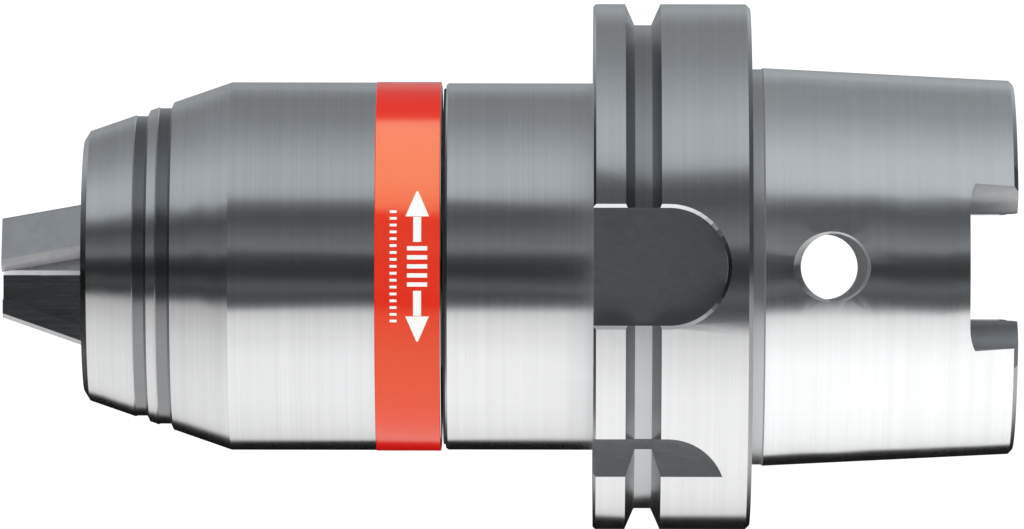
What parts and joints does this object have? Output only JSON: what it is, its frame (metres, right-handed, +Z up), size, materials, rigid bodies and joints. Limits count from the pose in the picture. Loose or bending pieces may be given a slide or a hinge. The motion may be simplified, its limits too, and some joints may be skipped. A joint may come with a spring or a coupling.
{
  "type": "drill chuck",
  "caption": "Keyless drill chuck: a hand-turned sleeve drives a spindle and inclined jaws along its cone, on a hollow taper shank with a grooved flange.",
  "frame": {"origin": "on the axis, in the plane of the flange face that seats on the machine spindle", "axes": "+X along the axis out of the shank end, jaws towards -X, +Z up with one jaw pointing down"},
  "size_m": [0.192, 0.1, 0.1],
  "materials": {
    "ground_steel": "fine ground",
    "turned_steel": "fine turned",
    "jaw_steel": "ground and darkened",
    "black_steel": "black oxide",
    "bearing_steel": "ground",
    "polished_steel": "polished",
    "bronze": "turned",
    "brass_sheet": "pressed",
    "black_rubber": "matt",
    "orange_enamel": "glossy",
    "white_print": "satin"
  },
  "bodies": {
    "holder": {"holder_body": "ground_steel", "gap_seal": "black_rubber", "spindle_nut": "bronze", "nut_lock_screws": "black_steel", "thrust_collar": "ground_steel", "collar_lock_screws": "black_steel", "front_race": "bearing_steel"},
    "ball_ring": {"ball_cage": "brass_sheet", "bearing_balls": "polished_steel"},
    "sleeve": {"rear_race": "bearing_steel", "ring_nut": "ground_steel", "guide_bush": "bronze", "clamping_sleeve": "turned_steel", "marking_band": "orange_enamel", "nose_hood": "turned_steel", "hood_seal_ring": "black_rubber", "jaw_guide": "black_steel", "guide_pins": "bearing_steel", "guide_retaining_ring": "black_steel"},
    "spindle": {"clamping_spindle": "bearing_steel", "stop_washer": "black_steel", "stop_screw": "black_steel"},
    "jaw_a": {"jaw_1": "jaw_steel"},
    "jaw_b": {"jaw_2": "jaw_steel"},
    "jaw_c": {"jaw_3": "jaw_steel"}
  },
  "joints": [
    {"name": "sleeve_turn", "type": "hinge", "parent": "holder", "child": "sleeve", "pos_m": [-0.08, 0, 0], "axis": [1, 0, 0], "range_deg": [-90, 1910]},
    {"name": "ball_ring_turn", "type": "hinge", "parent": "holder", "child": "ball_ring", "pos_m": [-0.0679, 0, 0], "axis": [1, 0, 0], "range_deg": [-45, 955]},
    {"name": "spindle_slide", "type": "slide", "parent": "sleeve", "child": "spindle", "axis": [1, 0, 0], "range_m": [-0.0011, 0.0213]},
    {"name": "jaw_a_slide", "type": "slide", "parent": "sleeve", "child": "jaw_a", "axis": [0.9444, 0, -0.3289], "range_m": [-0.0011, 0.0225]},
    {"name": "jaw_b_slide", "type": "slide", "parent": "sleeve", "child": "jaw_b", "axis": [0.9444, -0.2848, 0.1644], "range_m": [-0.0011, 0.0225]},
    {"name": "jaw_c_slide", "type": "slide", "parent": "sleeve", "child": "jaw_c", "axis": [0.9444, 0.2848, 0.1644], "range_m": [-0.0011, 0.0225]}
  ],
  "couplings": [
    {"joint": "ball_ring_turn", "follows": "sleeve_turn", "ratio": 0.5},
    {"joint": "spindle_slide", "follows": "sleeve_turn", "m_per_rad": 0.00063662},
    {"joint": "jaw_a_slide", "follows": "sleeve_turn", "m_per_rad": 0.00067412},
    {"joint": "jaw_b_slide", "follows": "sleeve_turn", "m_per_rad": 0.00067412},
    {"joint": "jaw_c_slide", "follows": "sleeve_turn", "m_per_rad": 0.00067412}
  ]
}
